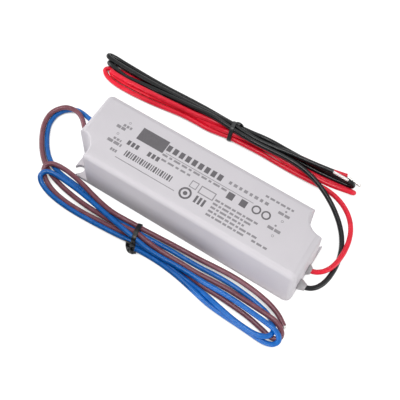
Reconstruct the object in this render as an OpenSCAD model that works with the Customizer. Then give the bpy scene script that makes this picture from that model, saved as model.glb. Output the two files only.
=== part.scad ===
// Potted constant-current LED driver in a moulded white case, lying on its flat base.
// Two supply leads leave the left end and two output leads leave the right end.
// X runs along the case towards its output end, Y to the rear and Z up.
// The origin is the middle of the case's underside.

/* [Case] */
// Length of the case over its base
case_length = 118; // [116:1:150]
// Width of the case over its base
case_width = 35; // [34:1:50]
// Height of the case
case_height = 26; // [25:1:40]
// Thickness of the side and end walls
wall = 2; // [1.2:0.1:2.6]
// Thickness of the roof
roof = 2; // [1.2:0.1:2.6]
// How far each side leans in from the base to the roof
draft = 0.6; // [0:0.1:1.2]
// Radius of the four upright corners
corner_radius = 3; // [2.8:0.1:5]
// Radius of the edge round the roof
roof_radius = 3; // [1:0.1:3.5]

/* [Screw recesses] */
// Radius of the screwdriver recess in two opposite corners
recess_radius = 8; // [6:0.1:9]
// Recess axis, measured in from the end of the case
recess_from_end = 1.8; // [1:0.1:4]
// Recess axis, measured in from the side of the case
recess_from_side = 3.1; // [2:0.1:4]
// Radius of the edge where a recess opens into the roof
recess_edge = 1.2; // [0.5:0.1:2]
// Thickness of the screw tab at the foot of a recess
tab_thickness = 2; // [1.5:0.1:4]
// Width of the open screw slot
slot_width = 4.2; // [3.2:0.1:5]
// Middle of the slot's round end, measured in from the end of the case
slot_from_end = 2.8; // [2.4:0.1:4]
// Middle of the slot's round end, measured in from the side of the case
slot_from_side = 3.5; // [3:0.1:5]
// Direction in which the slot runs out through the corner
slot_angle = 48; // [35:1:60]

/* [Base plate and board] */
// Thickness of the base plate
plate_thickness = 1.5; // [1:0.1:2]
// Gap between the base plate and the case wall
plate_gap = 0.15; // [0.05:0.05:0.4]
// Gap between the base plate and the circuit board
board_lift = 0.4; // [0.3:0.1:1]
// Gap between the circuit board and what lies on it on its own leads
part_lift = 0.3; // [0.2:0.1:0.6]
// Thickness of the circuit board
board_thickness = 1.6; // [1:0.1:2]
// Gap between the circuit board's edge and the case wall
board_gap = 1.6; // [1:0.1:2.5]

/* [Wires] */
// Outer diameter of each insulated wire
wire_diameter = 2.4; // [1.8:0.1:2.8]
// Distance between the two wires of one end
wire_pitch = 8; // [7:0.1:9]
// Distance of the inner wire from the middle of the end
wire_offset = 1; // [0:0.1:2]
// Diameter of a seal where it meets the case
seal_diameter = 5.2; // [4.8:0.1:6.9]
// Diameter of a seal at its outer tip
seal_tip_diameter = 3.2; // [3:0.1:4.4]
// How far a seal stands out of the case
seal_length = 3.4; // [2:0.1:5]
// Diameter of the seal's neck in the case wall
seal_neck_diameter = 4.2; // [3.6:0.1:4.4]
// Diameter of a stripped and tinned conductor
strand_diameter = 1.3; // [0.8:0.1:1.6]
// Length of a stripped and tinned conductor
strand_length = 8; // [5:0.5:10]

/* [Ties] */
// Width of the twist tie's strip
tie_width = 2.6; // [2:0.1:4]
// Thickness of the twist tie's strip
tie_thickness = 0.6; // [0.4:0.1:1.2]
// Length of the twisted ends
tie_tail = 6.5; // [4:0.5:9]

/* [Mains side parts] */
// Diameter of the fuse
fuse_diameter = 3.6; // [2.5:0.1:4]
// Length of the fuse
fuse_length = 9; // [7:0.5:9.5]
// Diameter of the surge varistor's disc
varistor_diameter = 8; // [6:0.5:9]
// Thickness of the surge varistor's disc
varistor_thickness = 4; // [3:0.1:4.5]
// Length of the suppression capacitor
film_length = 13; // [10:0.5:13]
// Width of the suppression capacitor
film_width = 6; // [4:0.5:7]
// Height of the suppression capacitor
film_height = 12; // [9:0.5:14]
// Outer diameter of the choke's ring core with its winding
choke_diameter = 14; // [11:0.5:14]
// Hole in the choke's ring
choke_hole = 5; // [3:0.5:6]
// Height of the choke's ring
choke_height = 7; // [5:0.5:9]
// Length of the bridge rectifier
bridge_length = 8.5; // [6:0.5:9]
// Width of the bridge rectifier
bridge_width = 6.5; // [5:0.5:7]
// Height of the bridge rectifier
bridge_height = 2.8; // [2:0.1:4]
// Diameter of the storage capacitor as a share of the board's width
storage_width_share = 0.6; // [0.45:0.01:0.62]
// Length of the storage capacitor
storage_length = 25; // [20:0.5:25]

/* [Converter parts] */
// Width of the transformer's ferrite core
core_width = 17; // [15:0.5:17.5]
// Height of the ferrite core's legs
core_depth = 6; // [4:0.5:8]
// Thickness of the core's back walls and outer legs
core_thickness = 3.5; // [3:0.1:4]
// Length of the transformer's coil former
former_length = 14; // [11:0.5:14.5]
// Height of the coil former's flanges
former_height = 15; // [12:0.5:17]
// Thickness of the former's flanges and tube
former_wall = 0.9; // [0.6:0.1:1.1]
// Length of the heat spreader
spreader_length = 16; // [12:0.5:18]
// Height of the heat spreader
spreader_height = 14; // [10:0.5:16]
// Thickness of the heat spreader
spreader_thickness = 1.5; // [1:0.1:2]
// Width of the switch transistor's body
device_width = 10; // [9:0.5:11]
// Height of the switch transistor's body
device_height = 9; // [8:0.5:10]
// Thickness of the switch transistor's body as a share of the board's width
device_width_share = 0.165; // [0.12:0.005:0.18]
// Length of the controller chip
chip_length = 5; // [4:0.5:6]
// Width of the controller chip
chip_width = 4; // [3:0.5:5]
// Height of the controller chip
chip_height = 1.6; // [1:0.1:2]

/* [Output side parts] */
// Length of the feedback coupler
coupler_length = 6.5; // [6:0.5:8]
// Width of the feedback coupler
coupler_width = 4; // [3:0.1:4.4]
// Height of the feedback coupler
coupler_height = 3.5; // [3:0.1:4]
// Diameter of the safety capacitor's disc
safety_diameter = 8; // [6:0.5:8.5]
// Thickness of the safety capacitor's disc as a share of the board's width
safety_width_share = 0.15; // [0.1:0.01:0.16]
// Diameter of the output diode
diode_diameter = 4; // [3:0.1:4.4]
// Length of the output diode
diode_length = 9; // [7:0.5:9.5]
// Diameter of an output capacitor as a share of the board's width
filter_width_share = 0.3; // [0.22:0.01:0.31]
// Height of an output capacitor
filter_height = 16; // [12:0.5:17]

/* [Hidden] */

// Number of sides for true round forms, and for what is drawn in one skin
$fn = 48;
skin_sides = 32;
// One overrun serves every cut
overrun = 1;
// Thickness of the thin discs that only carry an outline into a skin
skim = 0.01;
// Facets of a quarter-round edge
edge_steps = 6;

// Plan of the case round which the wires were measured; their places spread with the case
measured_case = [118, 35];
plan_scale = [case_length / measured_case[0], case_width / measured_case[1]];
half_length = case_length / 2;
half_width = case_width / 2;
inner_radius = max(corner_radius - wall, corner_radius / 4);
inner_roof_radius = max(roof_radius - roof, roof_radius / 4);
inner_length = case_length - 2 * wall;
inner_width = case_width - 2 * wall;
inner_height = case_height - roof;
recess_x = half_length - recess_from_end;
recess_y = half_width - recess_from_side;
slot_x = half_length - slot_from_end;
slot_y = half_width - slot_from_side;
slot_run = slot_from_end + slot_from_side + slot_width;

board_length = inner_length - 2 * (draft + board_gap);
board_width = inner_width - 2 * (draft + board_gap);
storage_diameter = storage_width_share * board_width;
device_thickness = device_width_share * board_width;
safety_thickness = safety_width_share * board_width;
filter_diameter = filter_width_share * board_width;
board_foot = plate_thickness + board_lift;
board_top = board_foot + board_thickness;
wire_radius = wire_diameter / 2;
wire_height = board_top + part_lift + wire_radius;
wire_root = board_length / 2 - board_gap * 2;
// How far the wall leans in at the lowest point of a seal
seal_lean = draft * max(wire_height - seal_diameter / 2, 0) / case_height;
seal_face = half_length - seal_lean;
seal_tip = seal_face + seal_length;
outer_wire = wire_offset + wire_pitch;
// Where a seal's neck starts inside the wall, and the share of its length that is a straight rim
neck_root = inner_length / 2 - draft;
seal_rim_share = 0.25;
tube_sides = 8;

core_leg_share = 0.5;
core_leg = (core_width - 2 * core_thickness) * core_leg_share;
// The former's tube across and up, and the width of its flanges
former_tube = [core_leg + 2 * former_wall, core_depth + 2 * former_wall];
flange_width = core_width - 2 * core_thickness - 2 * part_lift;
winding_length = former_length - 2 * former_wall;
// How far the windings stay below the flanges' edges
core_inset = former_wall;

// Places on the board as shares of its length and width, from its middle
fuse_place_shares = [-0.41, -0.05];
varistor_place_shares = [-0.335, -0.25];
film_place_shares = [-0.345, 0.25];
choke_place_shares = [-0.205, 0.2];
bridge_place_shares = [-0.225, -0.28];
storage_place_shares = [0, 0.17];
spreader_place_shares = [0.005, -0.42];
chip_place_shares = [-0.12, -0.32];
transformer_place_shares = [0.25, 0];
coupler_place_shares = [0.22, -0.415];
safety_place_shares = [0.4, -0.415];
diode_place_shares = [0.275, 0.415];
filter_place_shares = [[0.41, 0.17], [0.425, -0.17]];

// Routes of the wires from their seals to the hanks. The last number of each point is a height
// in wire diameters: a half lies on the floor, one and a half crosses over another wire
brown_route = [
    [-65, 2.2, 2], [-67.9, 5.4, 1.8], [-73, 8.6, 1.55], [-77.8, 10, 1.52], [-82.3, 9.3, 1.5], [-85.6, 6.2, 1],
    [-87, 1.5, 0.55], [-85.4, -4.4, 0.5], [-82.2, -10.4, 0.5], [-78, -15.8, 0.5]
];
blue_route = [
    [-65.2, 9.2, 1.8], [-69, 10.2, 1.1], [-73.4, 11.2, 0.55], [-78, 10.9, 0.5], [-81.4, 9.1, 0.5], [-83.3, 5.6, 0.5],
    [-83.6, 0.3, 0.5], [-82, -5.4, 0.5], [-78.9, -10.6, 0.5], [-74.9, -14.8, 0.5]
];
red_route = [
    [64.4, 1.2, 1.75], [66.5, 6.7, 1.35], [68.2, 12.6, 1.45], [69, 19, 1.55], [68.6, 25.3, 1.1], [66.4, 31, 0.55],
    [62.6, 35.6, 0.5], [57.8, 38.8, 0.5], [52, 40.5, 0.5]
];
black_route = [
    [65.4, -6.8, 1.3], [68.2, -2, 0.7], [69.6, 4.6, 0.5], [69.8, 11, 0.5], [68.3, 17.8, 0.5], [65.2, 23.6, 0.5],
    [60.6, 28.8, 0.6], [55.4, 33.6, 1.2], [50.4, 37.6, 1.6]
];
// Middle of the flat face through which both supply wires enter their hank, and its direction
input_entry = [-71.3, -19.8];
input_entry_turn = -43.5;
// The same for the output wires, whose hank starts with the red one below the black one
output_entry = [44, 46.5];
output_entry_turn = 180;
red_entry = [44, 40.9, 0.5];
black_entry = [44, 41.1, 1.6];

// Stations of each hank's outline along the floor: place and half width
input_hank_route = [[-65, -27.6, 6], [-44, -26.8, 7.2], [-14.5, -27, 5.2], [12, -27.5, 7.4], [36, -29, 10], [56, -31.4, 10]];
input_hank_corner = [-65.5, -23, 5.4];
output_hank_route = [[-76, 41, 8.4], [-52, 41.2, 7.8], [-6.5, 42.8, 5.4], [28, 45.4, 6.2]];
output_fold_route = [[42, 47, 2.9], [58, 47.4, 2.9]];
// Height of the hanks and of the folds at the output hank's end, in wire diameters
hank_layers = 3;
fold_layers = 2;
// Half width and height of a tied bundle in wire diameters
tied_shares = [2.1, 2.2];
tied_round_share = 0.3;
tied_half_width = tied_shares[0] * wire_diameter;
tied_height = tied_shares[1] * wire_diameter;
// A square large enough to cut through a whole hank
groove_reach = 4 * hank_layers * wire_diameter;
// Half the distance of the supply wires on their entry face, in wire diameters
entry_share = 0.54;
// What the entry face keeps beside each supply wire's middle, in wire diameters
entry_edge_share = 0.58;
entry_reach = (entry_share + entry_edge_share) * wire_diameter;
// Half the width of the output wires' entry face
output_entry_half = 6.9;
output_entry_reach = output_entry_half * plan_scale[1];
// Share of a tie's tail that is twisted, and how its prongs part
twist_share = 0.5;
prong_turn = 32;
// Turns of the two tails, and the place of the output one across its bundle
input_tail_turn = [78, 0, 20];
output_tail_turn = [-75, 0, 0];
output_tail_share = 0.8;
// Places and directions of the two ties
input_tie_place = [-14.5, -27.4];
input_tie_turn = 15;
output_tie_place = [-6.5, 42.3];
output_tie_turn = 9;
// Free ends of the two output wires and the bare insulation before their tinned conductors
red_end = [42, 52.1, 1];
red_end_length = 9.4;
black_end = [42, 48.4, 2.45];
black_end_length = 4.8;

// Edge of a quarter circle from the outside up to the top
function edge_points(radius, edge) =
    [for (i = [0:edge_steps]) [radius - edge + edge * cos(90 * i / edge_steps), edge * sin(90 * i / edge_steps)]];

// A drafted block with round upright corners and a round roof edge, standing on the ground plane
module moulded_block(length, width, height, radius, edge) {
    reach_x = length / 2 - radius;
    reach_y = width / 2 - radius;
    hull()
        for (x = [-1, 1], y = [-1, 1]) {
            translate([x * reach_x, y * reach_y, 0])
                cylinder(r = radius, h = skim, $fn = skin_sides);
            translate([x * (reach_x - draft), y * (reach_y - draft), height - edge])
                rotate_extrude($fn = skin_sides)
                    polygon(concat([[0, 0]], edge_points(radius, edge), [[0, edge]]));
        }
}

// Repeats what stands at the output end's rear corner at the opposite corner
module at_opposite_corners() {
    for (turn = [0, 180])
        rotate([0, 0, turn])
            children();
}

// The space of a screwdriver recess, which opens out round the roof
module recess_space() {
    rise = case_height - tab_thickness - recess_edge;
    flare = [for (i = [0:edge_steps]) [
        recess_radius + recess_edge * (1 - cos(90 * i / edge_steps)),
        rise + recess_edge * sin(90 * i / edge_steps)
    ]];
    translate([recess_x, recess_y, tab_thickness])
        rotate_extrude()
            polygon(concat(
                [[0, 0], [recess_radius, 0]],
                flare,
                [[recess_radius + recess_edge, rise + recess_edge + overrun], [0, rise + recess_edge + overrun]]
            ));
}

// The open slot in a screw tab
module slot_space() {
    translate([slot_x, slot_y, -overrun])
        rotate([0, 0, slot_angle]) {
            cylinder(d = slot_width, h = tab_thickness + 2 * overrun);
            translate([0, -slot_width / 2, 0])
                cube([slot_run, slot_width, tab_thickness + 2 * overrun]);
        }
}

// The hollow of the case, which keeps a full wall round each recess
module case_hollow() {
    difference() {
        translate([0, 0, -skim])
            moulded_block(inner_length, inner_width, inner_height + skim, inner_radius, inner_roof_radius);
        at_opposite_corners()
            translate([recess_x, recess_y, -overrun])
                cylinder(r = recess_radius + wall, h = case_height + 2 * overrun);
    }
}

// Stands its children at one of the four wire places with their Z axis pointing out of the case
module at_wire(side, place) {
    translate([0, -side * place * plan_scale[1], wire_height])
        rotate([0, side * 90, 0])
            children();
}

module case_shell() {
    color("#d5d1d6")
        difference() {
            moulded_block(case_length, case_width, case_height, corner_radius, roof_radius);
            at_opposite_corners() {
                recess_space();
                slot_space();
            }
            case_hollow();
            for (side = [-1, 1], place = [wire_offset, outer_wire])
                at_wire(side, place)
                    cylinder(d = seal_neck_diameter, h = half_length + overrun);
        }
}

// The flat plate that closes the case from below
module base_plate() {
    color("#c9c5ca")
        linear_extrude(plate_thickness)
            plan_outline(plate_gap);
}

// A rectangle with round corners, in true arcs
module rounded_plan(length, width, radius) {
    square([length - 2 * radius, width], center = true);
    square([length, width - 2 * radius], center = true);
    for (x = [-1, 1], y = [-1, 1])
        translate([x * (length / 2 - radius), y * (width / 2 - radius)])
            circle(r = radius);
}

// Plan of the hollow's mouth, set in by a gap
module plan_outline(gap) {
    difference() {
        rounded_plan(inner_length - 2 * gap, inner_width - 2 * gap, inner_radius);
        at_opposite_corners()
            translate([recess_x, recess_y])
                circle(r = recess_radius + wall + gap);
    }
}

// The compound that fills the case round the board, its parts and the wires' roots
module potting() {
    color("#3c3f42")
        difference() {
            case_hollow();
            translate([0, 0, plate_thickness / 2 - overrun])
                cube([case_length, case_width, plate_thickness + 2 * overrun], center = true);
            circuit_board();
            board_parts();
            for (side = [-1, 1], place = [wire_offset, outer_wire])
                at_wire(side, place) {
                    translate([0, 0, wire_root])
                        cylinder(d = wire_diameter, h = half_length - wire_root);
                    translate([0, 0, neck_root])
                        cylinder(d = seal_neck_diameter, h = half_length - neck_root);
                }
        }
}

module circuit_board() {
    color("#2f6b3c")
        translate([0, 0, board_foot])
            linear_extrude(board_thickness)
                difference() {
                    square([board_length, board_width], center = true);
                    at_opposite_corners()
                        translate([recess_x, recess_y])
                            circle(r = recess_radius + wall + board_gap);
                }
}

// Everything that stands on the circuit board
module board_parts() {
    fuse();
    varistor();
    film_capacitor();
    line_choke();
    bridge_rectifier();
    storage_capacitor();
    transformer_core();
    transformer_former();
    transformer_winding();
    switch_transistor();
    heat_spreader();
    controller_chip();
    feedback_coupler();
    safety_capacitor();
    output_diode();
    output_capacitors();
}

// Stands its children on the board
module on_board(shares, lift = 0) {
    translate([shares[0] * board_length, shares[1] * board_width, board_top + lift])
        children();
}

// A round part that lies along the case just above the board
module lying_part(shares, diameter, length) {
    on_board(shares, part_lift + diameter / 2)
        rotate([0, 90, 0])
            cylinder(d = diameter, h = length, center = true);
}

// A disc that stands on its edge just above the board
module standing_disc(shares, diameter, thickness) {
    on_board(shares, part_lift + diameter / 2)
        rotate([90, 0, 0])
            cylinder(d = diameter, h = thickness, center = true);
}

// A box that stands on the board
module box_part(shares, size) {
    on_board(shares)
        translate([-size[0] / 2, -size[1] / 2, 0])
            cube(size);
}

module fuse() {
    color("#d8cfae")
        lying_part(fuse_place_shares, fuse_diameter, fuse_length);
}

module varistor() {
    color("#2b62a8")
        standing_disc(varistor_place_shares, varistor_diameter, varistor_thickness);
}

module film_capacitor() {
    color("#d9b12e")
        box_part(film_place_shares, [film_length, film_width, film_height]);
}

// A wound ring that lies on the board
module line_choke() {
    color("#5d8f4a")
        on_board(choke_place_shares)
            difference() {
                cylinder(d = choke_diameter, h = choke_height);
                translate([0, 0, -overrun])
                    cylinder(d = choke_hole, h = choke_height + 2 * overrun);
            }
}

module bridge_rectifier() {
    color("#26282b")
        box_part(bridge_place_shares, [bridge_length, bridge_width, bridge_height]);
}

module storage_capacitor() {
    color("#232a44")
        lying_part(storage_place_shares, storage_diameter, storage_length);
}

// Centres its children in the transformer
module in_transformer() {
    on_board(transformer_place_shares, former_height / 2)
        children();
}

// The ring of the core and its middle leg
module transformer_core() {
    color("#4a4c50")
        in_transformer() {
            difference() {
                cube([former_length + 2 * core_thickness, core_width, core_depth], center = true);
                cube([former_length, core_width - 2 * core_thickness, core_depth + 2 * overrun], center = true);
            }
            cube([former_length, core_leg, core_depth], center = true);
        }
}

// A tube round the middle leg, with a flange at each end
module transformer_former() {
    color("#c9a75c")
        in_transformer()
            difference() {
                union() {
                    for (side = [-1, 1])
                        translate([side * (former_length - former_wall) / 2, 0, 0])
                            cube([former_wall, flange_width, former_height], center = true);
                    cube([former_length, former_tube[0], former_tube[1]], center = true);
                }
                cube([former_length + 2 * overrun, core_leg, core_depth], center = true);
            }
}

// The windings between the flanges
module transformer_winding() {
    color("#e0b95a")
        in_transformer()
            difference() {
                cube([winding_length, flange_width - 2 * part_lift, former_height - 2 * core_inset], center = true);
                cube([winding_length + 2 * overrun, former_tube[0], former_tube[1]], center = true);
            }
}

// The power switch, which stands against its heat spreader
module switch_transistor() {
    color("#1f2124")
        on_board(spreader_place_shares)
            translate([-device_width / 2, spreader_thickness / 2, 0])
                cube([device_width, device_thickness, device_height]);
}

module heat_spreader() {
    color("#b6babf")
        box_part(spreader_place_shares, [spreader_length, spreader_thickness, spreader_height]);
}

module controller_chip() {
    color("#222326")
        box_part(chip_place_shares, [chip_length, chip_width, chip_height]);
}

module feedback_coupler() {
    color("#2c2d30")
        box_part(coupler_place_shares, [coupler_length, coupler_width, coupler_height]);
}

module safety_capacitor() {
    color("#3f78b5")
        standing_disc(safety_place_shares, safety_diameter, safety_thickness);
}

module output_diode() {
    color("#1d1e20")
        lying_part(diode_place_shares, diode_diameter, diode_length);
}

// Two standing capacitors at the output end
module output_capacitors() {
    color("#2a3150")
        for (place = filter_place_shares)
            on_board(place)
                cylinder(d = filter_diameter, h = filter_height);
}

// A soft seal: a neck in the case wall and a tapered collar outside, bored for its wire
module wire_seal(side, place) {
    neck = seal_neck_diameter / 2;
    collar = seal_diameter / 2;
    rim = seal_length * seal_rim_share;
    color("#b3b3b0")
        at_wire(side, place)
            rotate_extrude()
                polygon([
                    [wire_radius, neck_root], [neck, neck_root], [neck, seal_face], [collar, seal_face],
                    [collar, seal_face + rim], [seal_tip_diameter / 2, seal_tip], [wire_radius, seal_tip]
                ]);
}

module brown_seal() {
    wire_seal(-1, wire_offset);
}

module blue_seal() {
    wire_seal(-1, outer_wire);
}

module red_seal() {
    wire_seal(1, wire_offset);
}

module black_seal() {
    wire_seal(1, outer_wire);
}

function unit(v) = v / norm(v);

// A measured place at its real one: it spreads with the case and rises with the wire
function placed(p) = [p[0] * plan_scale[0], p[1] * plan_scale[1], p[2] * wire_diameter];

// Directions along a route, given at its two ends and halved between its stretches elsewhere
function headings(route, first, last) = [
    for (i = [0:len(route) - 1])
        i == 0 ? first
        : i == len(route) - 1 ? last
        : unit(unit(route[i + 1] - route[i]) + unit(route[i] - route[i - 1]))
];

// One ring of a tube, square to its direction, with a corner at its lowest point
function ring(middle, way) =
    let (across = unit(cross(way, [0, 0, 1])), up = cross(across, way))
    [for (k = [0:tube_sides - 1])
        middle + wire_radius * (across * cos(360 * k / tube_sides) + up * sin(360 * k / tube_sides))];

// A round wire along a route
module wire_tube(route, first, last) {
    ways = headings(route, first, last);
    rings = len(route);
    points = [for (i = [0:rings - 1]) each ring(route[i], ways[i])];
    skin = [
        for (i = [0:rings - 2], k = [0:tube_sides - 1])
            let (next = (k + 1) % tube_sides)
            [i * tube_sides + k, i * tube_sides + next, (i + 1) * tube_sides + next, (i + 1) * tube_sides + k]
    ];
    foot = [for (k = [0:tube_sides - 1]) tube_sides - 1 - k];
    head = [for (k = [0:tube_sides - 1]) (rings - 1) * tube_sides + k];
    polyhedron(points, concat(skin, [foot, head]));
}

// A wire from its root in the potting, straight through its seal and then along its route
module lead(side, place, route, entry, turn) {
    way = [side, 0, 0];
    exit = [0, -side * place * plan_scale[1], wire_height];
    wire_tube(
        concat([exit + wire_root * way, exit + (seal_tip + wire_radius) * way], [for (p = route) placed(p)], [entry]),
        way, [cos(turn), sin(turn), 0]
    );
}

// Place of a supply wire on the flat face where it enters the hank
function input_place(side) = concat(
    [input_entry[0] * plan_scale[0], input_entry[1] * plan_scale[1]]
    + side * entry_share * wire_diameter * [-sin(input_entry_turn), cos(input_entry_turn)],
    [wire_radius]
);

module brown_lead() {
    color("#6f4650")
        lead(-1, wire_offset, brown_route, input_place(-1), input_entry_turn);
}

module blue_lead() {
    color("#1f74d6")
        lead(-1, outer_wire, blue_route, input_place(1), input_entry_turn);
}

module red_lead() {
    color("#e23a52")
        lead(1, wire_offset, red_route, placed(red_entry), output_entry_turn);
}

module black_lead() {
    color("#1c1f22")
        lead(1, outer_wire, black_route, placed(black_entry), output_entry_turn);
}

// Outline of a hank on the floor, swept from station to station
module swept_outline(stations) {
    for (i = [0:len(stations) - 2])
        hull()
            for (p = [stations[i], stations[i + 1]])
                station(p);
}

module station(p) {
    translate([p[0] * plan_scale[0], p[1] * plan_scale[1]])
        circle(r = p[2] * plan_scale[1], $fn = skin_sides);
}

// A thin bar along the flat face where wires enter, just behind that face
module entry_bar(place, turn, reach) {
    translate([place[0] * plan_scale[0], place[1] * plan_scale[1]])
        rotate(turn)
            translate([0, -reach])
                square([skim, 2 * reach]);
}

// Section of a tied bundle, lifted by the strip beneath it, with room round it for the strip
module bundle_section(room = 0) {
    half = tied_half_width + room;
    translate([0, tie_thickness + tied_height / 2])
        rounded_plan(2 * half, tied_height + 2 * room, tied_height * tied_round_share + room);
}

// Stands its children across a hank at a tie
module across_hank(place, turn) {
    translate([place[0] * plan_scale[0], place[1] * plan_scale[1], 0])
        rotate([0, 0, turn])
            children();
}

// What a hank loses where its tie draws it in
module tie_groove(place, turn) {
    width = tie_width + 2 * part_lift;
    across_hank(place, turn)
        rotate([90, 0, 90])
            translate([0, 0, -width / 2])
                difference() {
                    linear_extrude(width)
                        square(groove_reach, center = true);
                    translate([0, 0, -overrun])
                        linear_extrude(width + 2 * overrun)
                            bundle_section();
                }
}

// Outer shape of the coiled supply wires
module input_hank() {
    color("#6a5a86")
        difference() {
            linear_extrude(hank_layers * wire_diameter) {
                swept_outline(input_hank_route);
                hull() {
                    station(input_hank_corner);
                    station(input_hank_route[0]);
                    entry_bar(input_entry, input_entry_turn, entry_reach);
                }
            }
            tie_groove(input_tie_place, input_tie_turn);
        }
}

// Outer shape of the coiled output wires with their folds and the bare ends of insulation
module output_hank() {
    color("#9c3644") {
        difference() {
            linear_extrude(hank_layers * wire_diameter) {
                swept_outline(output_hank_route);
                hull() {
                    station(output_hank_route[3]);
                    entry_bar(output_entry, output_entry_turn, output_entry_reach);
                }
            }
            tie_groove(output_tie_place, output_tie_turn);
        }
        linear_extrude(fold_layers * wire_diameter)
            swept_outline(output_fold_route);
        insulation_end(red_end, red_end_length);
        insulation_end(black_end, black_end_length);
    }
}

// The last straight stretch of insulation before a tinned conductor
module insulation_end(place, length) {
    translate(placed(place))
        rotate([0, 90, 0])
            cylinder(d = wire_diameter, h = length);
}

// A wire strip round a bundle, with its ends twisted together
module twist_tie(place, turn, tail_place, tail_turn) {
    color("#26282b")
        across_hank(place, turn) {
            rotate([90, 0, 90])
                translate([0, 0, -tie_width / 2])
                    difference() {
                        linear_extrude(tie_width)
                            bundle_section(tie_thickness);
                        translate([0, 0, -overrun])
                            linear_extrude(tie_width + 2 * overrun)
                                bundle_section();
                    }
            translate(tail_place)
                rotate(tail_turn)
                    twisted_tail();
        }
}

// The twisted strip ends: one thick twist that parts into two prongs
module twisted_tail() {
    cylinder(d = 2 * tie_thickness, h = tie_tail * twist_share);
    for (side = [-1, 1])
        translate([0, 0, tie_tail * twist_share - tie_thickness])
            rotate([side * prong_turn, 0, 0])
                cylinder(d = tie_thickness, h = tie_tail * (1 - twist_share));
}

module input_tie() {
    twist_tie(input_tie_place, input_tie_turn,
        [0, -tied_half_width - tie_thickness / 2, tie_thickness + tied_height / 2], input_tail_turn);
}

module output_tie() {
    twist_tie(output_tie_place, output_tie_turn,
        [0, tied_half_width * output_tail_share, tied_height + tie_thickness + tie_thickness / 2], output_tail_turn);
}

// A stripped and tinned conductor beyond its insulation
module tinned_end(place, length) {
    color("#c9c6bd")
        translate(placed(place) + [length, 0, 0])
            rotate([0, 90, 0])
                cylinder(d = strand_diameter, h = strand_length);
}

module red_tinned_end() {
    tinned_end(red_end, red_end_length);
}

module black_tinned_end() {
    tinned_end(black_end, black_end_length);
}

case_shell();
base_plate();
potting();
circuit_board();
fuse();
varistor();
film_capacitor();
line_choke();
bridge_rectifier();
storage_capacitor();
transformer_core();
transformer_former();
transformer_winding();
switch_transistor();
heat_spreader();
controller_chip();
feedback_coupler();
safety_capacitor();
output_diode();
output_capacitors();
brown_seal();
blue_seal();
red_seal();
black_seal();
brown_lead();
blue_lead();
red_lead();
black_lead();
input_hank();
output_hank();
input_tie();
output_tie();
red_tinned_end();
black_tinned_end();
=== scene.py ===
"""Dresses a potted LED driver with its two tied hanks of wire.

Everything lies in the frame of the solids, in metres: X along the case to its output end, Y to the rear, Z up.
Routes, outlines and marks are listed in millimetres and brought to metres where they are used.
"""
import math

import bpy
from mathutils import Matrix, Vector


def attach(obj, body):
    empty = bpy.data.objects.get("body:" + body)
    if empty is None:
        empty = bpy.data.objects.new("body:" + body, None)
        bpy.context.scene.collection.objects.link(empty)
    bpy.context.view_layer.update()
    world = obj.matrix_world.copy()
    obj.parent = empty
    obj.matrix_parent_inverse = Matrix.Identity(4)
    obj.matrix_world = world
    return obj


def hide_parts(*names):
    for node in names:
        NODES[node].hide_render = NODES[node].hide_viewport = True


MM = 0.001
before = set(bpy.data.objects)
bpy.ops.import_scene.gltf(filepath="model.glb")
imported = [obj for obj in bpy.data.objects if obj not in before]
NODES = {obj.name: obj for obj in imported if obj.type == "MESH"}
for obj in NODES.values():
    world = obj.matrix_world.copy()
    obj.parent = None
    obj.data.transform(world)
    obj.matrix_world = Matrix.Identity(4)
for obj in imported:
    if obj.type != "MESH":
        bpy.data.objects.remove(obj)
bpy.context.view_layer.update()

# ---------------------------------------------------------------- camera

AZIMUTH, ELEVATION, ROLL = math.radians(29.694), math.radians(63.605), math.radians(3.158)
DISTANCE = 342.05 * MM
SHIFT_RIGHT, SHIFT_UP = 1.741 * MM, 3.154 * MM
LENS, SENSOR = 66.11, 36
NEAREST = 10 * MM


def add_camera():
    """Stands the camera where the photograph was taken from, aimed a little beside the case's middle."""
    look = Vector((
        -math.sin(AZIMUTH) * math.cos(ELEVATION), math.cos(AZIMUTH) * math.cos(ELEVATION), -math.sin(ELEVATION)
    ))
    level = Vector((math.cos(AZIMUTH), math.sin(AZIMUTH), 0))
    upright = level.cross(look)
    right = level * math.cos(ROLL) + upright * math.sin(ROLL)
    up = upright * math.cos(ROLL) - level * math.sin(ROLL)
    place = right * SHIFT_RIGHT + up * SHIFT_UP - look * DISTANCE
    data = bpy.data.cameras.new("camera")
    data.lens = LENS
    data.sensor_width = SENSOR
    data.clip_start = NEAREST
    camera = bpy.data.objects.new("camera", data)
    bpy.context.scene.collection.objects.link(camera)
    axes = Matrix((right, up, -look)).transposed().to_4x4()
    camera.matrix_world = Matrix.Translation(place) @ axes
    bpy.context.scene.camera = camera


add_camera()

# ---------------------------------------------------------------- materials


def rgb(code):
    """Linear colour of an sRGB hex code."""
    shares = [int(code[i:i + 2], 16) / 255 for i in (1, 3, 5)]
    return [s / 12.92 if s <= 0.04045 else ((s + 0.055) / 1.055) ** 2.4 for s in shares] + [1]


def node(tree, kind, settings=None, links=None):
    """Adds a node. Settings name its own properties or its inputs, and links give an input its source socket."""
    made = tree.nodes.new(kind)
    for key, value in (settings or {}).items():
        if isinstance(key, str) and hasattr(made, key):
            setattr(made, key, value)
        else:
            made.inputs[key].default_value = value
    for key, source in (links or {}).items():
        tree.links.new(source, made.inputs[key])
    return made


def material(name):
    """A new material with its node tree empty but for the output."""
    made = bpy.data.materials.new(name)
    made.use_nodes = True
    tree = made.node_tree
    tree.nodes.clear()
    return made, tree, tree.nodes.new("ShaderNodeOutputMaterial")


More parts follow.
